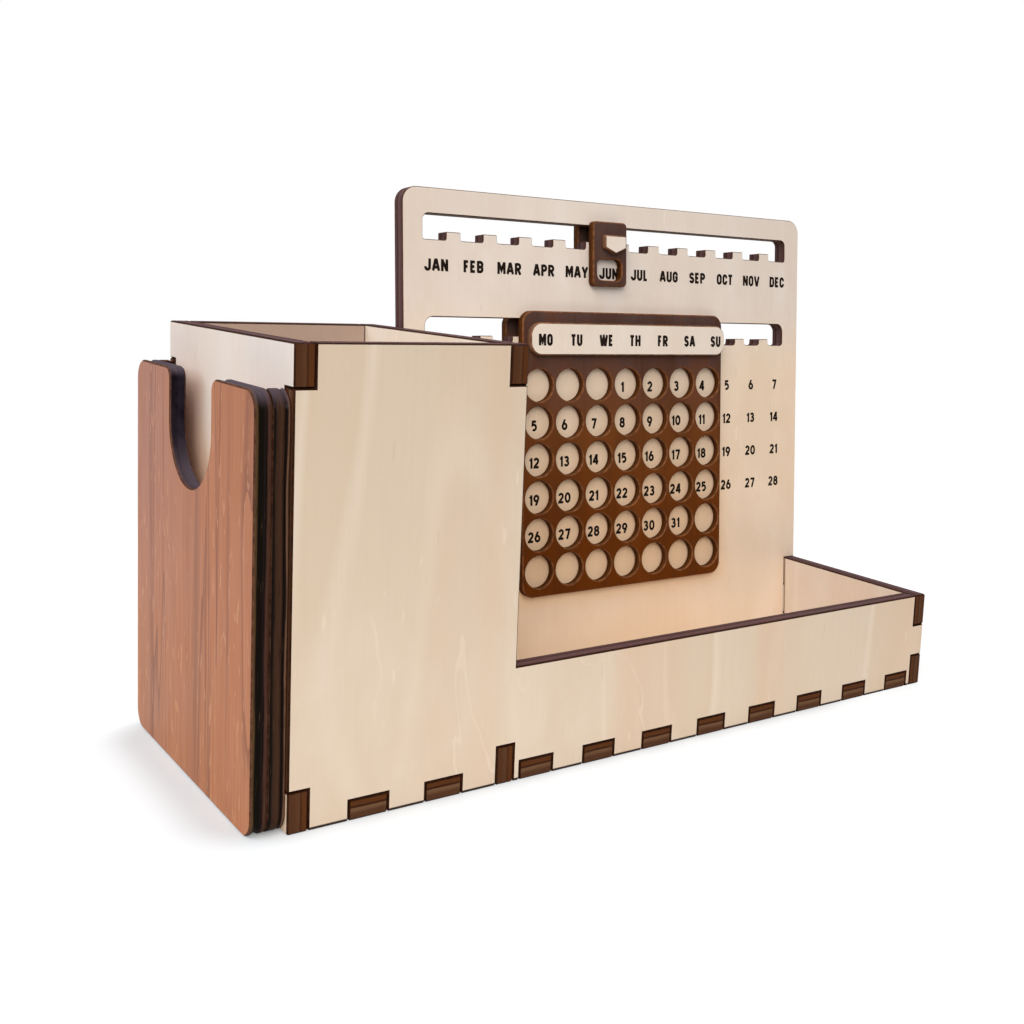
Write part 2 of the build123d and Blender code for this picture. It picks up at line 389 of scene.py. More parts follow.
def walnut_veneer(name, colour):
    """Reddish veneer: broad upright bands, wandering dark streaks and groups of light pores."""
    s = Shader(name)
    sheet = s.sheet_place()
    _, depth, height = s.parts(s.object_place())
    bands = s.noise(sheet, (62, 1.6, 0), 2.0, 0.5, 0.35)
    broad = s.noise(sheet, (24, 5, 0), 2.0, 0.5)
    streaks = s.noise(sheet, (150, 3.4, 0), 2.5, 0.5, 0.8)
    lines = s.noise(sheet, (330, 9, 0), 2.0, 0.5, 0.6)
    grain = s.noise(sheet, (1000, 40, 0), 3.0, 0.6)
    tone = s.steps(
        bands,
        (0.28, tint(colour, 0.60, 0.58, 0.64)),
        (0.42, tint(colour, 0.98, 0.98, 1.02)),
        (0.55, tint(colour, 1.16, 1.20, 1.20)),
        (0.68, tint(colour, 0.78, 0.70, 0.74)),
    )
    tone = s.mix(s.between(broad, 0.35, 0.65, 0.0, 0.4), tone, tint(colour, 1.08, 1.25, 1.5))
    # painted sheen: paler and pinker towards the rear and the top
    rear = s.between(depth, -0.015, 0.040)
    high = s.between(height, 0.02, 0.10, 0.35, 1.0)
    painted_sheen = s.maths("MULTIPLY", s.maths("MULTIPLY", rear, high), 0.75)
    tone = s.mix(painted_sheen, tone, tint(colour, 1.02, 1.36, 2.5))
    veins = s.noise(sheet, (44, 3.2, 0), 2.5, 0.5, 0.7)
    vein = s.maths("FRACT", s.maths("MULTIPLY", veins, 7.0))
    tone = s.mix(s.between(vein, 0.0, 0.22, 0.62, 0.0), tone, tint(colour, 0.45, 0.36, 0.38))
    tone = s.mix(s.between(vein, 0.60, 1.0, 0.0, 0.45), tone, tint(colour, 1.2, 1.3, 1.4))
    tone = s.mix(s.between(streaks, 0.58, 0.72, 0.0, 0.4), tone, tint(colour, 0.52, 0.42, 0.42))
    tone = s.mix(s.between(lines, 0.62, 0.76, 0.0, 0.2), tone, tint(colour, 0.55, 0.45, 0.45))
    tone = s.mix(s.between(grain, 0.45, 0.8, 0.0, 0.18), tone, shade(colour, 0.6))
    leaning = s.node("Mapping", sheet, None, (0, 0, 0.05), (560, 150, 0)).outputs[0]
    pores = s.noise(leaning, None, 1.0, 0.5, 0.3)
    groups = s.between(s.noise(sheet, (70, 26, 0), 2.0, 0.5), 0.38, 0.56)
    flecks = s.maths("MULTIPLY", s.between(pores, 0.61, 0.68), groups)
    tone = s.mix(s.maths("MULTIPLY", flecks, 0.5), tone, tint(colour, 1.5, 2.1, 2.7))
    # darker and yellower towards the bottom
    low = s.between(height, 0.055, 0.015)
    tone = s.mix(low, tone, (0.96, 0.93, 0.78), "MULTIPLY")
    rough = s.between(grain, 0.3, 0.7, 0.46, 0.58)
    relief = s.maths("SUBTRACT", s.maths("MULTIPLY", grain, 0.4), s.maths("MULTIPLY", flecks, 0.8))
    return s.finish(tone, rough, relief, 0.00006, 0.3)


def dark_veneer(name, colour):
    """Dark plates: brown low down, duskier and more purple towards the top as a painted sheen,
    softly mottled.
    """
    s = Shader(name)
    sheet = s.sheet_place()
    height = s.parts(sheet)[1]
    mottle = s.noise(sheet, (60, 25, 0), 3.0, 0.5, 0.4)
    streaks = s.noise(sheet, (420, 14, 0), 3.0, 0.6)
    grain = s.noise(sheet, (1600, 60, 0), 3.0, 0.6)
    # painted sheen: more purple towards the top of the plates
    tone = s.steps(
        s.between(height, 0.045, 0.116),
        (0.0, tint(colour, 1.05, 0.84, 0.15)),
        (0.5, tint(colour, 1.25, 1.32, 1.35)),
        (1.0, tint(colour, 0.76, 1.52, 6.0)),
    )
    tone = s.mix(s.between(mottle, 0.32, 0.6, 0.5, 0.0), tone, shade(colour, 0.65))
    tone = s.mix(s.between(mottle, 0.52, 0.7, 0.0, 0.4), tone, shade(colour, 1.4))
    tone = s.mix(s.between(streaks, 0.5, 0.72, 0.0, 0.4), tone, shade(colour, 0.62))
    tone = s.mix(s.between(grain, 0.5, 0.8, 0.0, 0.2), tone, shade(colour, 1.9))
    rough = s.between(mottle, 0.3, 0.7, 0.42, 0.54)
    return s.finish(tone, rough, grain, 0.00003, 0.06)


def with_painted_sheen(s, tone, sheen, aside=0.5):
    """The tone with a painted sheen where the edge faces upwards, and partly where it faces
    left: a painted reflection of the cool light from above and from the left.
    """
    normal = s.facing()
    tone = s.mix(s.between(normal[0], -0.3, -1.0, 0.0, aside), tone, sheen)
    return s.mix(s.between(normal[2], 0.15, 0.95, 0.0, 0.8), tone, sheen)


def burnt_edge(name, rim, low, light, dark, high, sheen, aside=0.5):
    """A laser-cut edge: charred along both faces, with a lighter ply up to its middle, a burnt
    glue line past it, thin wandering lines, and a painted sheen where it faces up, and partly
    where it faces left."""
    s = Shader(name)
    place = s.sheet_place()
    across = s.parts(place)[2]
    wander = s.noise(place, (70, 70, 0.4), 3.0, 0.55)
    wavy = s.maths("ADD", across, s.maths("MULTIPLY", s.maths("SUBTRACT", wander, 0.5), 0.16))
    tone = s.steps(
        wavy,
        (0.02, rim),
        (0.10, low),
        (0.30, low),
        (0.48, light),
        (0.57, light),
        (0.61, dark),
        (0.66, dark),
        (0.71, high),
        (0.90, high),
        (0.98, rim),
    )
    patches = s.noise(place, (160, 160, 3), 3.0, 0.6)
    lines = s.noise(place, (60, 60, 16), 3.0, 0.6)
    tone = s.mix(s.between(patches, 0.42, 0.72, 0.0, 0.4), tone, low)
    tone = s.mix(s.between(lines, 0.60, 0.76, 0.0, 0.45), tone, light)
    tone = s.mix(s.between(lines, 0.38, 0.25, 0.0, 0.6), tone, dark)
    # painted sheen that follows the plies
    painted_sheen = s.steps(
        wavy,
        (0.03, shade(sheen, 0.45)),
        (0.14, sheen),
        (0.30, shade(sheen, 1.25)),
        (0.44, shade(sheen, 1.3)),
        (0.52, shade(sheen, 0.9)),
        (0.57, shade(sheen, 0.42)),
        (0.67, shade(sheen, 0.42)),
        (0.74, shade(sheen, 1.1)),
        (0.87, sheen),
        (0.97, shade(sheen, 0.45)),
    )
    tone = with_painted_sheen(s, tone, painted_sheen, aside)
    rough = s.between(lines, 0.3, 0.7, 0.5, 0.66)
    return s.finish(tone, rough, lines, 0.00012, 0.06)


def pocket_edge(name, bands):
    """The pocket's thick varnished edges: upright bands in front, darker and even further back,
    and a painted sheen where they look up, and less where they look left.
    """
    s = Shader(name)
    place = s.sheet_place()
    across = s.parts(place)[2]
    wander = s.noise(place, (45, 45, 0.3), 2.5, 0.5)
    wavy = s.maths("ADD", across, s.maths("MULTIPLY", s.maths("SUBTRACT", wander, 0.5), 0.24))
    tone = s.steps(wavy, *bands)
    runs = s.noise(place, (130, 130, 9), 3.0, 0.6)
    tone = s.mix(s.between(runs, 0.60, 0.76, 0.0, 0.5), tone, (0.11, 0.062, 0.030))
    tone = s.mix(s.between(runs, 0.42, 0.28, 0.0, 0.6), tone, (0.008, 0.005, 0.003))
    rear = s.parts(s.object_place())[1]
    cloud = s.noise(place, (260, 260, 1.5), 2.0, 0.5)
    blotches = s.mix(s.between(cloud, 0.3, 0.7), (0.007, 0.005, 0.008), (0.016, 0.012, 0.018))
    # darker and even further back than the pocket's front
    tone = s.mix(s.between(rear, POCKET_FRONT, POCKET_FRONT + 0.004), tone, blotches)
    # painted sheen where the edges face up, and partly where they face left
    tone = with_painted_sheen(s, tone, (0.080, 0.058, 0.072))
    rough = s.between(runs, 0.3, 0.7, 0.40, 0.55)
    return s.finish(tone, rough, runs, 0.00018, 0.025)


def scorched_rim(name, colour, shaded_below=False):
    """The chamfer where a face meets the cut, the darkest part of the char. Where the rim is to
    be shaded below, painted shade makes it darker still where it faces down."""
    s = Shader(name)
    place = s.object_place()
    blotches = s.noise(place, (700, 700, 700), 2.0, 0.5)
    tone = s.mix(s.between(blotches, 0.3, 0.7), shade(colour, 0.7), shade(colour, 1.5))
    if shaded_below:
        # painted shade where the chamfer faces down
        normal = s.facing()
        tone = s.mix(s.between(normal[2], -0.2, -0.6, 0.0, 0.9), tone, shade(colour, 0.2))
    return s.finish(tone, 0.6, None, 0.0, 0.08)


def engraving(name):
    """Lettering burnt into the face, near black and slightly uneven."""
    s = Shader(name)
    place = s.object_place()
    blotches = s.noise(place, (2600, 2600, 2600), 2.0, 0.5)
    tone = s.mix(s.between(blotches, 0.3, 0.7), linear(20, 12, 9), linear(38, 26, 20))
    return s.finish(tone, 0.8, None, 0.0, 0.1)


FINISHES = {}
# each pale face finish: what the birch colour is multiplied by, and how its figure differs. The
# tints are partly painted light: one birch, made lighter or darker and cooler or warmer sheet by
# sheet for the light that falls on it, with painted shade inside the pen box's back wall
PALE_VENEERS = {
    "birch": ((1.03, 1.09, 1.16), {"figured": 0.5}),
    "front_birch": ((0.965, 0.975, 1.005), {"foot": True}),
    "inner_birch": ((0.945, 1.0, 1.125), {"figured": 0.5, "seam": True}),
    "shaded_birch": ((1.03, 1.09, 1.16), {"figured": 0.5, "inside": (0.58, 0.50, 0.50)}),
    "side_birch": ((1.04, 1.125, 1.315), {"figured": 0.5, "painted_light": SIDE_PAINTED_SHADE}),
    "calendar_birch": ((1.08, 1.17, 1.37), {"figured": 0.3, "painted_light": CALENDAR_PAINTED_LIGHT}),
    "trim_birch": ((1.09, 1.18, 1.35), {"figured": 0.3}),
}
# what the burnt colour is multiplied by at a cut edge's rim and on its low, light, dark and high
# plies; the colour of the painted sheen on them comes after these tables
BIRCH_PLIES = (
    (0.38, 0.30, 0.20),
    (1.0, 1.08, 1.25),
    (1.75, 2.3, 2.9),
    (0.38, 0.28, 0.20),
    (1.10, 0.90, 0.55),
)
WALL_PLIES = (
    (0.38, 0.30, 0.20),
    (0.95, 0.92, 0.95),
    (1.10, 1.20, 1.35),
    (0.62, 0.50, 0.40),
    (1.10, 0.90, 0.60),
)
# the colour of the painted sheen on the burnt birch edges
EDGE_SHEEN = (0.092, 0.048, 0.054)


def make_finishes():
    """Makes every material of the organiser, from the wood colours in the settings."""
    wood = bpy.context.scene.organiser_plywood
    birch, walnut, dark, burnt = (
        tuple(colour) for colour in (wood.birch, wood.walnut, wood.dark_walnut, wood.burnt)
    )
    for finish, (change, options) in PALE_VENEERS.items():
        FINISHES[finish] = birch_veneer(finish + "_veneer", tint(birch, *change), **options)
    FINISHES["walnut"] = walnut_veneer("walnut_veneer", walnut)
    FINISHES["dark"] = dark_veneer("dark_walnut_veneer", dark)
    # each burnt birch edge: its finish, its material, its plies, and its share of painted sheen
    # where it faces left
    for finish, name, plies, aside in (
        ("edge", "burnt_birch_edge", BIRCH_PLIES, 0.0),
        ("wall_edge", "burnt_wall_edge", WALL_PLIES, 0.0),
        ("calendar_edge", "burnt_calendar_edge", BIRCH_PLIES, 0.65),
    ):
        colours = [tint(burnt, *change) for change in plies]
        FINISHES[finish] = burnt_edge(name, *colours, EDGE_SHEEN, aside)
    # the birch rims get painted shade where they face down
    FINISHES["rim"] = scorched_rim("scorched_birch_rim", tint(burnt, 0.30, 0.22, 0.15), True)
    FINISHES["fine_rim"] = scorched_rim("scorched_calendar_rim", shade(burnt, 0.9))
    FINISHES["outer_edge"] = pocket_edge(
        "pocket_panel_edge",
        (
            (0.02, (0.035, 0.020, 0.010)),
            (0.07, (0.100, 0.058, 0.024)),
            (0.17, (0.080, 0.042, 0.018)),
            (0.24, (0.007, 0.005, 0.003)),
            (0.66, (0.007, 0.004, 0.003)),
            (0.75, (0.066, 0.028, 0.019)),
            (0.86, (0.058, 0.024, 0.015)),
            (0.95, (0.006, 0.004, 0.003)),
        ),
    )
    FINISHES["inner_edge"] = pocket_edge(
        "pocket_spacer_edge",
        (
            (0.14, (0.006, 0.004, 0.003)),
            (0.26, (0.042, 0.020, 0.012)),
            (0.50, (0.058, 0.025, 0.014)),
            (0.62, (0.030, 0.014, 0.008)),
            (0.68, (0.007, 0.004, 0.003)),
            (0.80, (0.009, 0.004, 0.003)),
            (0.86, (0.160, 0.080, 0.045)),
            (0.95, (0.012, 0.006, 0.003)),
        ),
    )
    FINISHES["pocket_rim"] = scorched_rim("scorched_pocket_rim", (0.075, 0.030, 0.016))
    # for the dark and the trim edges below, the last colour is the painted sheen where they face
    # up, and partly where they face left
    FINISHES["dark_edge"] = burnt_edge(
        "burnt_walnut_edge",
        (0.030, 0.008, 0.001),
        (0.058, 0.014, 0.001),
        (0.090, 0.025, 0.003),
        (0.028, 0.007, 0.001),
        (0.062, 0.015, 0.001),
        (0.090, 0.028, 0.004),
    )
    # the dark plates' rims are lighter: a painted highlight along their chamfers
    FINISHES["dark_rim"] = scorched_rim("worn_walnut_rim", (0.15, 0.055, 0.020))
    FINISHES["trim_edge"] = burnt_edge(
        "burnt_trim_edge",
        (0.040, 0.014, 0.006),
        (0.15, 0.060, 0.026),
        (0.20, 0.090, 0.044),
        (0.11, 0.042, 0.018),
        (0.15, 0.060, 0.026),
        (0.17, 0.085, 0.055),
    )
    FINISHES["trim_rim"] = scorched_rim("scorched_trim_rim", (0.17, 0.080, 0.040))
    FINISHES["ink"] = engraving("burnt_lettering")


# ---------------------------------------------------------------- sheets
# a look is the finish of a sheet's faces, of its cut edge and of its rim, and its material slot
BIRCH = (("birch", "edge", "rim"), "pale_plywood")
DIVIDER = (("birch", "wall_edge", "rim"), "pale_plywood")
FRONT = (("front_birch", "edge", "rim"), "pale_plywood")
INNER = (("inner_birch", "wall_edge", "rim"), "pale_plywood")
SIDE = (("side_birch", "wall_edge", "rim"), "pale_plywood")
SHADED = (("shaded_birch", "edge", "rim"), "pale_plywood")
CALENDAR = (("calendar_birch", "calendar_edge", "fine_rim"), "pale_plywood")
POCKET_PANEL = (("walnut", "outer_edge", "pocket_rim"), "walnut_plywood")
POCKET_SPACER = (("walnut", "inner_edge", "pocket_rim"), "walnut_plywood")
DARK = (("dark", "dark_edge", "dark_rim"), "dark_walnut")
TRIM = (("trim_birch", "trim_edge", "trim_rim"), "pale_plywood")

# for each sheet's node, the way across it from the shown face, the way up its face, and its look
LEANING = (PANEL_BACK, PANEL_UP)
BOX_SHEETS = {
    "front_panel": (BACK, UP, FRONT),
    "left_wall": (RIGHT, UP, SIDE),
    "divider_wall": (RIGHT, UP, DIVIDER),
    "pen_back_wall": (-BACK, UP, SHADED),
    "pen_box_base": (UP, BACK, BIRCH),
    "tray_base": (UP, RIGHT, BIRCH),
    "right_end_panel": (-RIGHT, UP, INNER),
    "calendar_panel": (*LEANING, CALENDAR),
}
POCKET_SHEETS = {
    "card_spacer": (RIGHT, UP, POCKET_SPACER),
    "card_front_panel": (RIGHT, UP, POCKET_PANEL),
}
MONTH_SHEETS = {
    "month_tag": (*LEANING, DARK),
    "month_arrow": (*LEANING, TRIM),
    "month_tongue": (*LEANING, DARK),
    "month_rear_plate": (*LEANING, DARK),
}
DATE_SHEETS = {
    "date_plate": (*LEANING, DARK),
    "date_header": (*LEANING, TRIM),
    "date_tongue_left": (*LEANING, DARK),
    "date_tongue_right": (*LEANING, DARK),
    "date_rear_plate": (*LEANING, DARK),
}
# the rims that are finer than the others, as a share of their width
RIM_SHARES = {"fine_rim": 0.5}
# for each edge finish, the grooves round the sheet: place as a share of its thickness, and half
# the width and the depth in millimetres
PLY_GROOVES = ((0.3, 0.14, 0.06), (0.7, 0.14, 0.06))
GROOVES = {
    "edge": PLY_GROOVES,
    "wall_edge": PLY_GROOVES,
    "calendar_edge": PLY_GROOVES,
    "dark_edge": ((0.35, 0.12, 0.05), (0.65, 0.12, 0.05)),
    "trim_edge": ((0.5, 0.12, 0.05),),
    "outer_edge": ((0.45, 1.0, 0.5),),
    "inner_edge": ((0.07, 0.22, 0.12), (0.73, 0.5, 0.28)),
}
# the section of a groove: places across it as a share of half its width, and its depth there
GROOVE_PROFILE = ((-1.0, 0.0), (-0.5, 0.56), (0.0, 1.0), (0.5, 0.56), (1.0, 0.0))
# how nearly a face looks across the sheet to take the face finish
FLAT = 0.999
# how near a vertex lies to its cut, as a share of half the groove's width
ON_CUT = 0.125
# the distance and the angle within which the CAD's triangles become whole faces, the angle from
# which an edge is chamfered, and the angle up to which a curved edge is shaded smooth
MERGE_DISTANCE, FLAT_ANGLE = 0.000002, math.radians(0.4)
CHAMFER_ANGLE, SMOOTH_ANGLE = math.radians(60), math.radians(35)
SHOWN_FACE, CUT_EDGE, RIM = 0, 1, 2
# how far apart two sheets lie in the veneer, so that no two show the same figure
SEED_STEP = 0.713


def grooved(obj, across, low, thickness, grooves):
    """Cuts a shallow rounded groove round the sheet's edge at each ply that is burnt back."""
    for place, half, depth in grooves:
        middle = low + place * thickness
        edit(obj)
        for offset, _ in GROOVE_PROFILE:
            bpy.ops.mesh.select_all(action="SELECT")
            cut = middle + offset * half * MM
            bpy.ops.mesh.bisect(plane_co=across * cut, plane_no=across)
        done()
        for offset, share in GROOVE_PROFILE:
            cut = middle + offset * half * MM
            edit_where(obj, lambda co: abs(co.dot(across) - cut) < half * MM * ON_CUT)
            bpy.ops.transform.shrink_fatten(value=-depth * share * MM)
            done()


def inside_corners(obj, source):
    """Moves any vertex that a chamfer has pushed out of the CAD sheet's box back to it."""
    for axis in range(3):
        reaches = [vertex.co[axis] for vertex in source.vertices]
        for limit, way in ((min(reaches), -1), (max(reaches), 1)):
            squeeze, side = [1, 1, 1], [0, 0, 0]
            squeeze[axis], side[axis] = 0, limit
            edit_where(obj, lambda co: (co[axis] - limit) * way > 0)
            bpy.ops.transform.resize(value=squeeze, center_override=side)
            done()


def finished_sheet(node, across, up, look, body, seed):
    """A copy of a sheet with clean faces, grooved and chamfered edges, and its finishes."""
    settings = bpy.context.scene.organiser_plywood
    finishes, slot = look
    obj = bpy.data.objects.new(node + "_sheet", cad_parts[node].data.copy())
    bpy.context.scene.collection.objects.link(obj)
    edit(obj)
    bpy.ops.mesh.remove_doubles(threshold=MERGE_DISTANCE)
    bpy.ops.mesh.dissolve_limited(angle_limit=FLAT_ANGLE)
    done()
    reaches = [vertex.co.dot(across) for vertex in obj.data.vertices]
    low, thickness = min(reaches), max(reaches) - min(reaches)
    grooved(obj, across, low, thickness, GROOVES[finishes[CUT_EDGE]])
    mesh = obj.data
    mesh.materials.clear()
    for finish_name in finishes:
        mesh.materials.append(FINISHES[finish_name])
    for polygon in mesh.polygons:
        polygon.material_index = CUT_EDGE
    add_modifier(
        obj,
        "BEVEL",
        width=settings.rim * RIM_SHARES.get(finishes[RIM], 1.0),
        segments=1,
        limit_method="ANGLE",
        angle_limit=CHAMFER_ANGLE,
        use_clamp_overlap=False,
        material=RIM,
    )
    inside_corners(obj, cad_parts[node].data)
    for polygon in mesh.polygons:
        if polygon.material_index != RIM and abs(polygon.normal.dot(across)) > FLAT:
            polygon.material_index = SHOWN_FACE
    side = up.cross(across)
    place = mesh.attributes.new("sheet", "FLOAT_VECTOR", "POINT")
    for vertex, value in zip(mesh.vertices, place.data):
        co = vertex.co
        value.vector = (
            co.dot(side) + seed * SEED_STEP,
            co.dot(up),
            (co.dot(across) - low) / thickness,
        )
    only(obj)
    bpy.ops.object.shade_smooth_by_angle(angle=SMOOTH_ANGLE)
    add_modifier(obj, "WEIGHTED_NORMAL", mode="FACE_AREA", weight=100, keep_sharp=True)
    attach(obj, body)
    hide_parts(node)
    return obj


def finish_sheets(sheets, body):
    """Finishes each sheet of a group, all on one body."""
    for seed, (node, (across, up, look)) in enumerate(sheets.items(), start=1):
        made = finished_sheet(node, across, up, look, body, seed)
        if not made.data.polygons:
            raise RuntimeError(node + " has no faces left")


# ---------------------------------------------------------------- lettering
def arc(middle, reach, start, end, steps=10):
    """Points on an ellipse from one angle to another, in degrees."""
    (x, y), (wide, high) = middle, reach
    turns = [math.radians(start + (end - start) * n / steps) for n in range(steps + 1)]
    return [(x + wide * math.cos(turn), y + high * math.sin(turn)) for turn in turns]


# parts of letters in a unit square; strokes that run past it, over or under, are cut off later
BOWL = 0.27
OVER = 1.12
UNDER = -0.12
TOP_ARC = arc((0.5, 1 - BOWL), (0.5, BOWL), 0, 180)
FOOT_ARC = arc((0.5, BOWL), (0.5, BOWL), 180, 360)
LEFT_STEM = [(0, UNDER), (0, OVER)]
RIGHT_STEM = [(1, UNDER), (1, OVER)]
RIGHT_SIDE = arc((0.45, 1 - BOWL), (0.55, BOWL), 90, 0) + arc((0.45, BOWL), (0.55, BOWL), 0, -90)
UPPER_BOWL = [(0, 1)] + arc((0.5, 0.74), (0.5, 0.26), 90, -90) + [(0, 0.48)]
LOWER_BOWL = [(0, 0.52)] + arc((0.5, 0.26), (0.5, 0.26), 90, -90) + [(0, 0)]
UPPER_BEND = arc((0.5, 0.745), (0.5, 0.255), 12, 262)
LOWER_BEND = arc((0.5, 0.255), (0.5, 0.255), 82, -168)
FIVE_BOWL = arc((0.45, 0.315), (0.53, 0.315), 106, -130)
SIX_BOWL = arc((0.5, 0.31), (0.5, 0.31), 0, 360, 24)[:-1]
SIX_STEM = [(0.03, 0.42), (0.62, 1.15)]

# each letter's width as a share of its height, and its strokes along their middle lines in a
# unit square
GLYPHS = {
    "A": (0.66, [[(-0.06, -0.1), (0.5, 1.22), (1.06, -0.1)], [(0.2, 0.26), (0.8, 0.26)]]),
    "B": (0.58, [UPPER_BOWL, LOWER_BOWL, LEFT_STEM]),
    "C": (0.56, [[(1, 0.66)] + TOP_ARC + FOOT_ARC + [(1, 0.34)]]),
    "D": (0.58, [[(0, 0), (0, 1)] + RIGHT_SIDE]),
    "E": (0.5, [[(1.1, 1), (0, 1), (0, 0), (1.1, 0)], [(0, 0.51), (0.95, 0.51)]]),
    "F": (0.48, [[(1.1, 1), (0, 1), (0, UNDER)], [(0, 0.5), (0.92, 0.5)]]),
    "G": (0.57, [[(1, 0.68)] + TOP_ARC + FOOT_ARC + [(1, 0.47), (0.5, 0.47)]]),
    "H": (0.6, [LEFT_STEM, RIGHT_STEM, [(0, 0.51), (1, 0.51)]]),
    "J": (0.56, [[(0, 0.32)] + FOOT_ARC + [(1, OVER)]]),
    "L": (0.47, [[(0, OVER), (0, 0), (1.1, 0)]]),
    "M": (0.74, [LEFT_STEM, RIGHT_STEM, [(-0.02, 1.16), (0.5, 0.3), (1.02, 1.16)]]),
    "N": (0.61, [LEFT_STEM, RIGHT_STEM, [(-0.02, 1.08), (1.02, -0.08)]]),
    "O": (0.58, [TOP_ARC + FOOT_ARC]),
    "P": (0.57, [UPPER_BOWL, LEFT_STEM]),
    "R": (0.59, [UPPER_BOWL, LEFT_STEM, [(0.42, 0.52), (1.06, -0.12)]]),
    "S": (0.56, [UPPER_BEND + LOWER_BEND]),
    "T": (0.54, [[(-0.2, 1), (1.2, 1)], [(0.5, 0.98), (0.5, UNDER)]]),
    "U": (0.58, [[(0, OVER)] + FOOT_ARC + [(1, OVER)]]),
    "V": (0.64, [[(-0.06, 1.1), (0.5, -0.22), (1.06, 1.1)]]),
    "W": (0.88, [[(-0.04, 1.1), (0.25, -0.26), (0.5, 0.95), (0.75, -0.26), (1.04, 1.1)]]),
    "Y": (0.62, [[(-0.08, 1.1), (0.5, 0.42), (1.08, 1.1)], [(0.5, 0.46), (0.5, UNDER)]]),
    "0": (0.6, [arc((0.5, 0.5), (0.5, 0.5), 0, 360, 28)[:-1]]),
    "1": (0.33, [RIGHT_STEM, [(-0.2, 0.74), (1, 0.98)]]),
    "2": (0.56, [arc((0.5, 0.72), (0.48, 0.28), 170, -35) + [(-0.02, 0), (1.15, 0)]]),
    "3": (
        0.56,
        [
            arc((0.47, 0.76), (0.42, 0.24), 160, -90) + [(0.3, 0.52)],
            [(0.3, 0.54)] + arc((0.47, 0.27), (0.5, 0.27), 90, -160),
        ],
    ),
    "4": (0.62, [[(0.74, UNDER), (0.74, 1.2), (0.0, 0.24), (1.12, 0.24)]]),
    "5": (0.56, [[(1.0, 1), (0.14, 1), (0.08, 0.57)] + FIVE_BOWL]),
    "6": (0.58, [SIX_BOWL, SIX_STEM]),
    "7": (0.56, [[(-0.15, 1), (1, 1), (0.36, UNDER)]]),
    "8": (
        0.58,
        [
            arc((0.5, 0.765), (0.42, 0.235), 0, 360, 20)[:-1],
            arc((0.5, 0.27), (0.5, 0.27), 0, 360, 20)[:-1],
        ],
    ),
    "9": (0.58, [[(1 - x, 1 - y) for x, y in stroke] for stroke in (SIX_BOWL, SIX_STEM)]),
}
# how many of a letter's strokes are closed rings; they come first
RINGS = {"D": 1, "O": 1, "0": 1, "6": 1, "8": 2, "9": 1}


# as shares of a letter's height: what counts as no length, how near two vertices are one, and
# how far inside a letter's box its strokes are cut off, so that no cut falls on a flat side
NO_LENGTH, STROKE_MERGE, HAIR = 1e-6, 0.00001, 0.002


def offset_side(points, half, closed):
    """The points moved to the left of the stroke by half its width, with mitred corners."""
    moved = []
    last = len(points) - 1
    for index, point in enumerate(points):
        before = points[index - 1] if index or closed else None
        after = points[(index + 1) % len(points)] if index < last or closed else None
        normals = []
        for start, end in ((before, point), (point, after)):
            if start is not None and end is not None:
                run = Vector((end[0] - start[0], end[1] - start[1]))
                if run.length > NO_LENGTH:
                    run.normalize()
                    normals.append(Vector((-run.y, run.x)))
        normal = normals[0] if len(normals) == 1 else normals[0] + normals[1]
        scale = half if len(normals) == 1 else half / (1 + normals[0].dot(normals[1]))
        moved.append((point[0] + normal.x * scale, point[1] + normal.y * scale))
    return moved


def stroke_piece(points, half, closed, depth):
    """One stroke as a flat solid."""
    left = offset_side(points, half, closed)
    right = offset_side(points, -half, closed)
    loops = [left, right] if closed else [left + right[::-1]]
    curve = bpy.data.curves.new("stroke", "CURVE")
    curve.dimensions = "2D"
    curve.fill_mode = "BOTH"
    curve.extrude = depth / 2
    for loop in loops:
        spline = curve.splines.new("POLY")
        spline.points.add(len(loop) - 1)
        for target, point in zip(spline.points, loop):
            target.co = (*point, 0, 1)
        spline.use_cyclic_u = True
    obj = bpy.data.objects.new("stroke", curve)
    bpy.context.scene.collection.objects.link(obj)
    only(obj)
    bpy.ops.object.convert(target="MESH")
    obj = bpy.context.object
    edit(obj)
    bpy.ops.mesh.remove_doubles(threshold=STROKE_MERGE)
    bpy.ops.mesh.normals_make_consistent(inside=False)
    done()
    return obj


def glyph_piece(letter, weight, stretch, depth):
    """A letter one unit high: its strokes joined, and cut off at its box."""
    width, strokes = GLYPHS[letter]
    width *= stretch
    half = weight / 2
    pieces = []
    for index, points in enumerate(strokes):
        placed = [(half + x * (width - weight), half + y * (1 - weight)) for x, y in points]
        pieces.append(stroke_piece(placed, half, index < RINGS.get(letter, 0), depth))
    base = pieces[0]
    for other in pieces[1:]:
        add_modifier(base, "BOOLEAN", operation="UNION", solver="EXACT", object=other)
        bpy.data.objects.remove(other)
    edit(base)
    for point, way in (
        ((0, HAIR, 0), (0, -1, 0)),
        ((0, 1 - HAIR, 0), (0, 1, 0)),
        ((HAIR, 0, 0), (-1, 0, 0)),
        ((width - HAIR, 0, 0), (1, 0, 0)),
    ):
        bpy.ops.mesh.select_all(action="SELECT")
        bpy.ops.mesh.bisect(plane_co=point, plane_no=way, clear_outer=True, use_fill=True)
    done()
    if not base.data.polygons:
        raise RuntimeError("the letter " + letter + " has no faces")
    return base, width


# the width of the letters as a share of the alphabet's own, and the gap between two of them
MONTH_STRETCH, WEEKDAY_STRETCH, DAY_STRETCH = 1.07, 0.98, 1.12
LETTER_GAP = 0.09


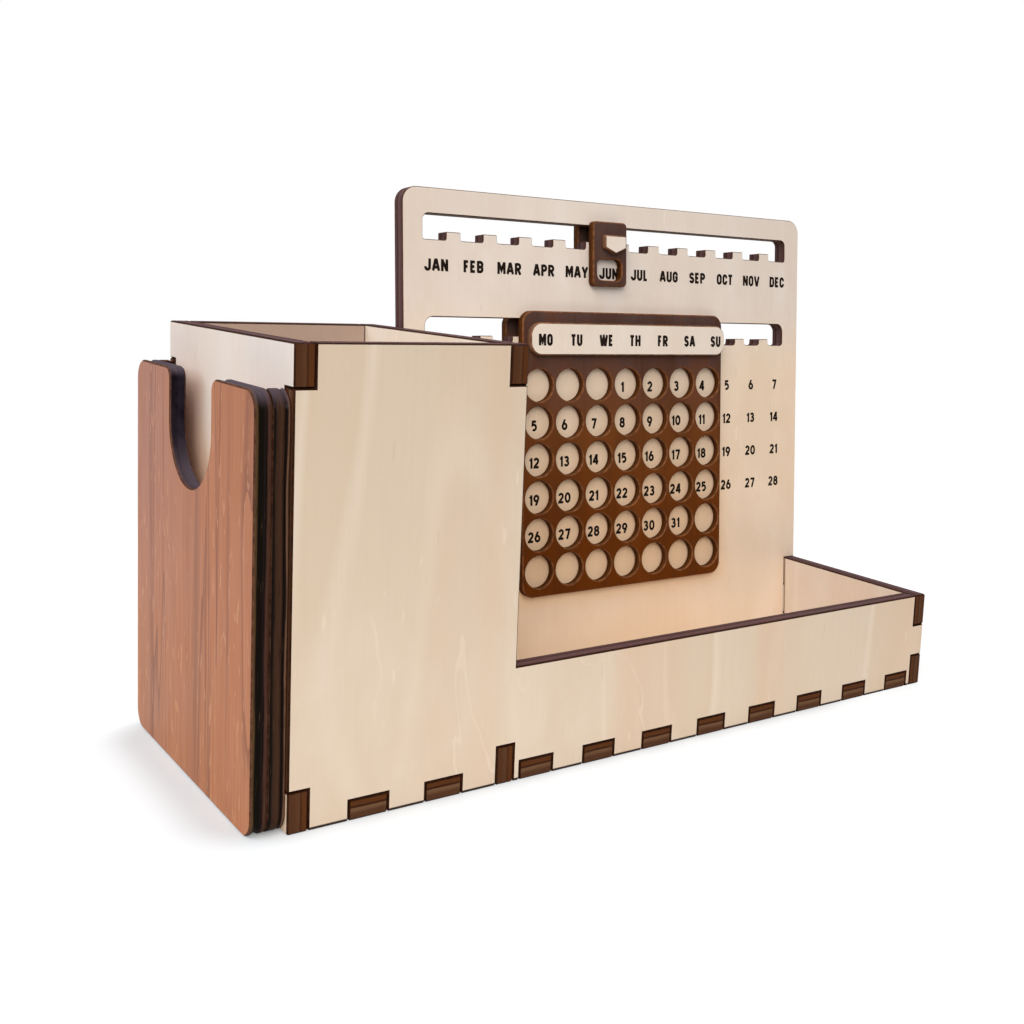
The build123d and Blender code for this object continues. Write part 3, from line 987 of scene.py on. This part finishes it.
def lettering(name, labels, height, weight, stretch, surface, body):
    """Writes labels, each a text and its middle on the panel in millimetres, as one piece.
    The surface is how far the face that carries them stands in front of the panel."""
    relief = bpy.context.scene.organiser_lettering.relief
    depth = 2 * relief / height
    used = sorted({letter for text, _, _ in labels for letter in text})
    glyphs = {letter: glyph_piece(letter, weight, stretch, depth) for letter in used}
    to_panel = Matrix((RIGHT, PANEL_UP, -PANEL_BACK)).transposed().to_4x4()
    copies = []
    for text, across, up in labels:
        span = sum(glyphs[letter][1] for letter in text) + LETTER_GAP * (len(text) - 1)
        pen = -span / 2
        for letter in text:
            glyph, width = glyphs[letter]
            copy = bpy.data.objects.new(name, glyph.data.copy())
            bpy.context.scene.collection.objects.link(copy)
            place = PANEL_ORIGIN + (RIGHT * across + PANEL_UP * up - PANEL_BACK * surface) * MM
            copy.data.transform(
                Matrix.Translation(place)
                @ to_panel
                @ Matrix.Scale(height, 4)
                @ Matrix.Translation((pen, -0.5, 0))
            )
            pen += width + LETTER_GAP
            copies.append(copy)
    for glyph, _ in glyphs.values():
        bpy.data.objects.remove(glyph)
    only(*copies)
    bpy.ops.object.join()
    piece = bpy.context.object
    piece.name = name
    piece.data.materials.clear()
    piece.data.materials.append(FINISHES["ink"])
    for polygon in piece.data.polygons:
        polygon.material_index = 0
    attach(piece, body)
    return piece


def name_row(names, middle, pitch, height):
    """Each name of a row and its middle on the panel."""
    half = (len(names) - 1) / 2
    return [(text, middle + (n - half) * pitch, height) for n, text in enumerate(names)]


def day_grid():
    """Each day number and its middle on the panel."""
    days = []
    for row, (column, first) in enumerate(DAY_ROWS):
        count = min(DAYS_IN_ROW - column + 1, LAST_DAY - first + 1)
        for n in range(count):
            across = DAY_MIDDLE + (column + n - MIDDLE_COLUMN) * DAY_PITCH
            days.append((str(first + n), across, FIRST_WEEK_HEIGHT - row * WEEK_PITCH))
    return days


def header_reach():
    """How far the header's face stands in front of the panel, in millimetres."""
    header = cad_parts["date_header"].data
    reach = min((vertex.co - PANEL_ORIGIN).dot(PANEL_BACK) for vertex in header.vertices)
    return -reach / MM


# ---------------------------------------------------------------- stage
# each lamp's place, width and colour; the setting of the same name is its power
LAMPS = {
    "top": ((0.33, 0.12, 1.1), 0.5, (1.0, 0.98, 0.96)),
    "front": ((-0.45, -0.82, 0.57), 0.7, (1.0, 0.985, 0.96)),
    "side": ((-0.6, -0.3, 0.85), 0.6, (1.0, 0.985, 0.96)),
    "window": ((-1.1, 0.35, 0.65), 0.9, (0.72, 0.83, 1.0)),
}
LAMP_AIM = Vector((0, 0, 0.06))
# fitted to the photograph
CAMERA_PLACE = (-0.20876829, -0.29297963, 0.12791483)
CAMERA_TURN = (82.92359861, -2.73165183, -36.61521197)
CAMERA_SHIFT = (-0.092489, -0.079158)

PAPER = (0.665, 0.68, 0.685)
# how much of its full glow the paper has near the organiser
FLOOR_GLOW = 0.07
# the shadow fades outwards from a rectangle: its shift to the left, and half its sides
SHADOW_SHIFT, SHADOW_REACH = (0.02, 0, 0), (0.087, 0.027, 0)


def floor_finish():
    """Pale matt paper that looks white where no shadow falls, and further out takes no light."""
    s = Shader("floor_paper")
    place = s.object_place()
    path = s.node("LightPath")
    seen = s.maths("ADD", path.outputs["Is Camera Ray"], path.outputs["Is Glossy Ray"], clamp=True)
    seen = s.maths("ADD", seen, path.outputs["Is Transmission Ray"], clamp=True)
    radius = s.vectors("LENGTH", place)["Value"]
    away = s.vectors("ADD", place, SHADOW_SHIFT)[0]
    away = s.vectors("ABSOLUTE", away)[0]
    away = s.vectors("SUBTRACT", away, SHADOW_REACH)[0]
    away = s.vectors("MAXIMUM", away, (0, 0, 0))[0]
    away = s.vectors("LENGTH", away)["Value"]
    faded = s.maths("MULTIPLY", seen, s.between(away, 0.004, 0.024, 0.0, 0.7))
    near = s.maths(
        "MULTIPLY", s.between(radius, 0.17, 0.36, 1.0, 0.0), s.maths("SUBTRACT", 1.0, faded)
    )
    paper = s.mix(near, (0.0, 0.0, 0.0), PAPER)
    s.tree.links.new(paper, s.surface.inputs["Base Color"])
    s.surface.inputs["Roughness"].default_value = 0.9
    s.surface.inputs["Specular IOR Level"].default_value = 0.0
    glow = s.maths("MULTIPLY", seen, s.between(near, 0.0, 1.0, 1.0, FLOOR_GLOW))
    s.surface.inputs["Emission Color"].default_value = (1, 1, 1, 1)
    s.tree.links.new(glow, s.surface.inputs["Emission Strength"])
    return s.material


def sky_light(scene, strength):
    """Even light all round, seen by the camera as plain white."""
    world = bpy.data.worlds.new("studio")
    scene.world = world
    world.use_nodes = True
    tree = world.node_tree
    background = tree.nodes["Background"]
    background.inputs["Color"].default_value = (1, 1, 1, 1)
    path = tree.nodes.new("ShaderNodeLightPath")
    seen = tree.nodes.new("ShaderNodeMath")
    seen.operation = "MAXIMUM"
    tree.links.new(path.outputs["Is Camera Ray"], seen.inputs[0])
    tree.links.new(path.outputs["Is Transmission Ray"], seen.inputs[1])
    level = tree.nodes.new("ShaderNodeMapRange")
    level.inputs["To Min"].default_value = strength
    level.inputs["To Max"].default_value = 1.0
    tree.links.new(seen.outputs[0], level.inputs[0])
    tree.links.new(level.outputs[0], background.inputs["Strength"])


def soft_lamp(name, place, size, power, colour):
    """A round lamp that looks at the organiser."""
    lamp = bpy.data.lights.new(name, "AREA")
    lamp.shape = "DISK"
    lamp.size = size
    lamp.energy = power
    lamp.color = colour
    seat = bpy.data.objects.new(name, lamp)
    bpy.context.scene.collection.objects.link(seat)
    seat.location = place
    aim = LAMP_AIM - Vector(place)
    seat.rotation_euler = aim.to_track_quat("-Z", "Y").to_euler()


# ---------------------------------------------------------------- operators
class ORGANISER_OT_materials(bpy.types.Operator):
    """Makes the veneers, burnt edges and lettering finishes"""

    bl_idname = "organiser.materials"
    bl_label = "Wood finishes"

    def execute(self, context):
        make_finishes()
        return {"FINISHED"}


class ORGANISER_OT_box(bpy.types.Operator):
    """Finishes the pen box, the tray and the calendar panel"""

    bl_idname = "organiser.box"
    bl_label = "Box and calendar sheets"

    def execute(self, context):
        finish_sheets(BOX_SHEETS, "organiser")
        return {"FINISHED"}


class ORGANISER_OT_card_pocket(bpy.types.Operator):
    """Finishes the two layers of the card pocket"""

    bl_idname = "organiser.card_pocket"
    bl_label = "Card pocket"

    def execute(self, context):
        finish_sheets(POCKET_SHEETS, "organiser")
        return {"FINISHED"}


class ORGANISER_OT_month_slider(bpy.types.Operator):
    """Finishes the plates of the month slider"""

    bl_idname = "organiser.month_slider"
    bl_label = "Month slider"

    def execute(self, context):
        finish_sheets(MONTH_SHEETS, "month_slider")
        return {"FINISHED"}


class ORGANISER_OT_date_slider(bpy.types.Operator):
    """Finishes the plates of the date slider"""

    bl_idname = "organiser.date_slider"
    bl_label = "Date slider"

    def execute(self, context):
        finish_sheets(DATE_SHEETS, "date_slider")
        return {"FINISHED"}


class ORGANISER_OT_lettering(bpy.types.Operator):
    """Writes the month names, the weekdays and the day numbers"""

    bl_idname = "organiser.lettering"
    bl_label = "Calendar lettering"

    def execute(self, context):
        settings = context.scene.organiser_lettering
        names = (settings.name_height, settings.name_weight)
        numbers = (settings.number_height, settings.number_weight)
        months = name_row(MONTHS, MONTH_MIDDLE, MONTH_PITCH, MONTH_NAME_HEIGHT)
        lettering("month_names", months, *names, MONTH_STRETCH, 0.0, "organiser")
        weekdays = name_row(WEEKDAYS, WEEKDAY_MIDDLE, WEEKDAY_PITCH, WEEKDAY_HEIGHT)
        lettering(
            "weekday_names", weekdays, *names, WEEKDAY_STRETCH, header_reach(), "date_slider"
        )
        lettering("day_numbers", day_grid(), *numbers, DAY_STRETCH, 0.0, "organiser")
        return {"FINISHED"}


class ORGANISER_OT_stage(bpy.types.Operator):
    """Lays the floor, hangs the lamps and places the camera"""

    bl_idname = "organiser.stage"
    bl_label = "Stage"

    def execute(self, context):
        settings = context.scene.organiser_stage
        bpy.ops.object.select_all(action="DESELECT")
        bpy.ops.mesh.primitive_plane_add(size=settings.floor_size, location=(0, 0, 0))
        floor = context.object
        floor.name = "floor"
        floor.data.materials.append(floor_finish())
        sky_light(context.scene, settings.sky)
        for name, (place, size, colour) in LAMPS.items():
            soft_lamp(name + "_lamp", place, size, getattr(settings, name), colour)
        camera = bpy.data.cameras.new("camera")
        camera.lens = settings.lens
        camera.sensor_width = 36
        camera.shift_x, camera.shift_y = CAMERA_SHIFT
        camera.clip_start = 0.01
        seat = bpy.data.objects.new("camera", camera)
        context.scene.collection.objects.link(seat)
        seat.location = CAMERA_PLACE
        seat.rotation_euler = [math.radians(angle) for angle in CAMERA_TURN]
        context.scene.camera = seat
        context.scene.view_settings.view_transform = "Standard"
        return {"FINISHED"}


class ORGANISER_PT_panel(bpy.types.Panel):
    """Lists the settings and the steps that finish the organiser"""

    bl_label = "Organiser"
    bl_idname = "ORGANISER_PT_panel"
    bl_space_type = "VIEW_3D"
    bl_region_type = "UI"
    bl_category = "Organiser"

    def draw(self, context):
        for name, kind in GROUPS.items():
            for setting in kind.__annotations__:
                self.layout.prop(getattr(context.scene, name), setting)
        for step in STEPS:
            self.layout.operator(step.bl_idname)


STEPS = (
    ORGANISER_OT_materials,
    ORGANISER_OT_box,
    ORGANISER_OT_card_pocket,
    ORGANISER_OT_month_slider,
    ORGANISER_OT_date_slider,
    ORGANISER_OT_lettering,
    ORGANISER_OT_stage,
)
GROUPS = {
    "organiser_plywood": PlywoodSettings,
    "organiser_lettering": LetteringSettings,
    "organiser_stage": StageSettings,
}


def register():
    for kind in (*GROUPS.values(), *STEPS, ORGANISER_PT_panel):
        bpy.utils.register_class(kind)
    for name, kind in GROUPS.items():
        setattr(bpy.types.Scene, name, PointerProperty(type=kind))


def unregister():
    for name in GROUPS:
        delattr(bpy.types.Scene, name)
    for kind in (ORGANISER_PT_panel, *reversed(STEPS), *GROUPS.values()):
        bpy.utils.unregister_class(kind)


def main():
    """Builds the whole scene."""
    register()
    for step in STEPS:
        group, name = step.bl_idname.split(".")
        getattr(getattr(bpy.ops, group), name)()


if __name__ == "__main__":
    main()
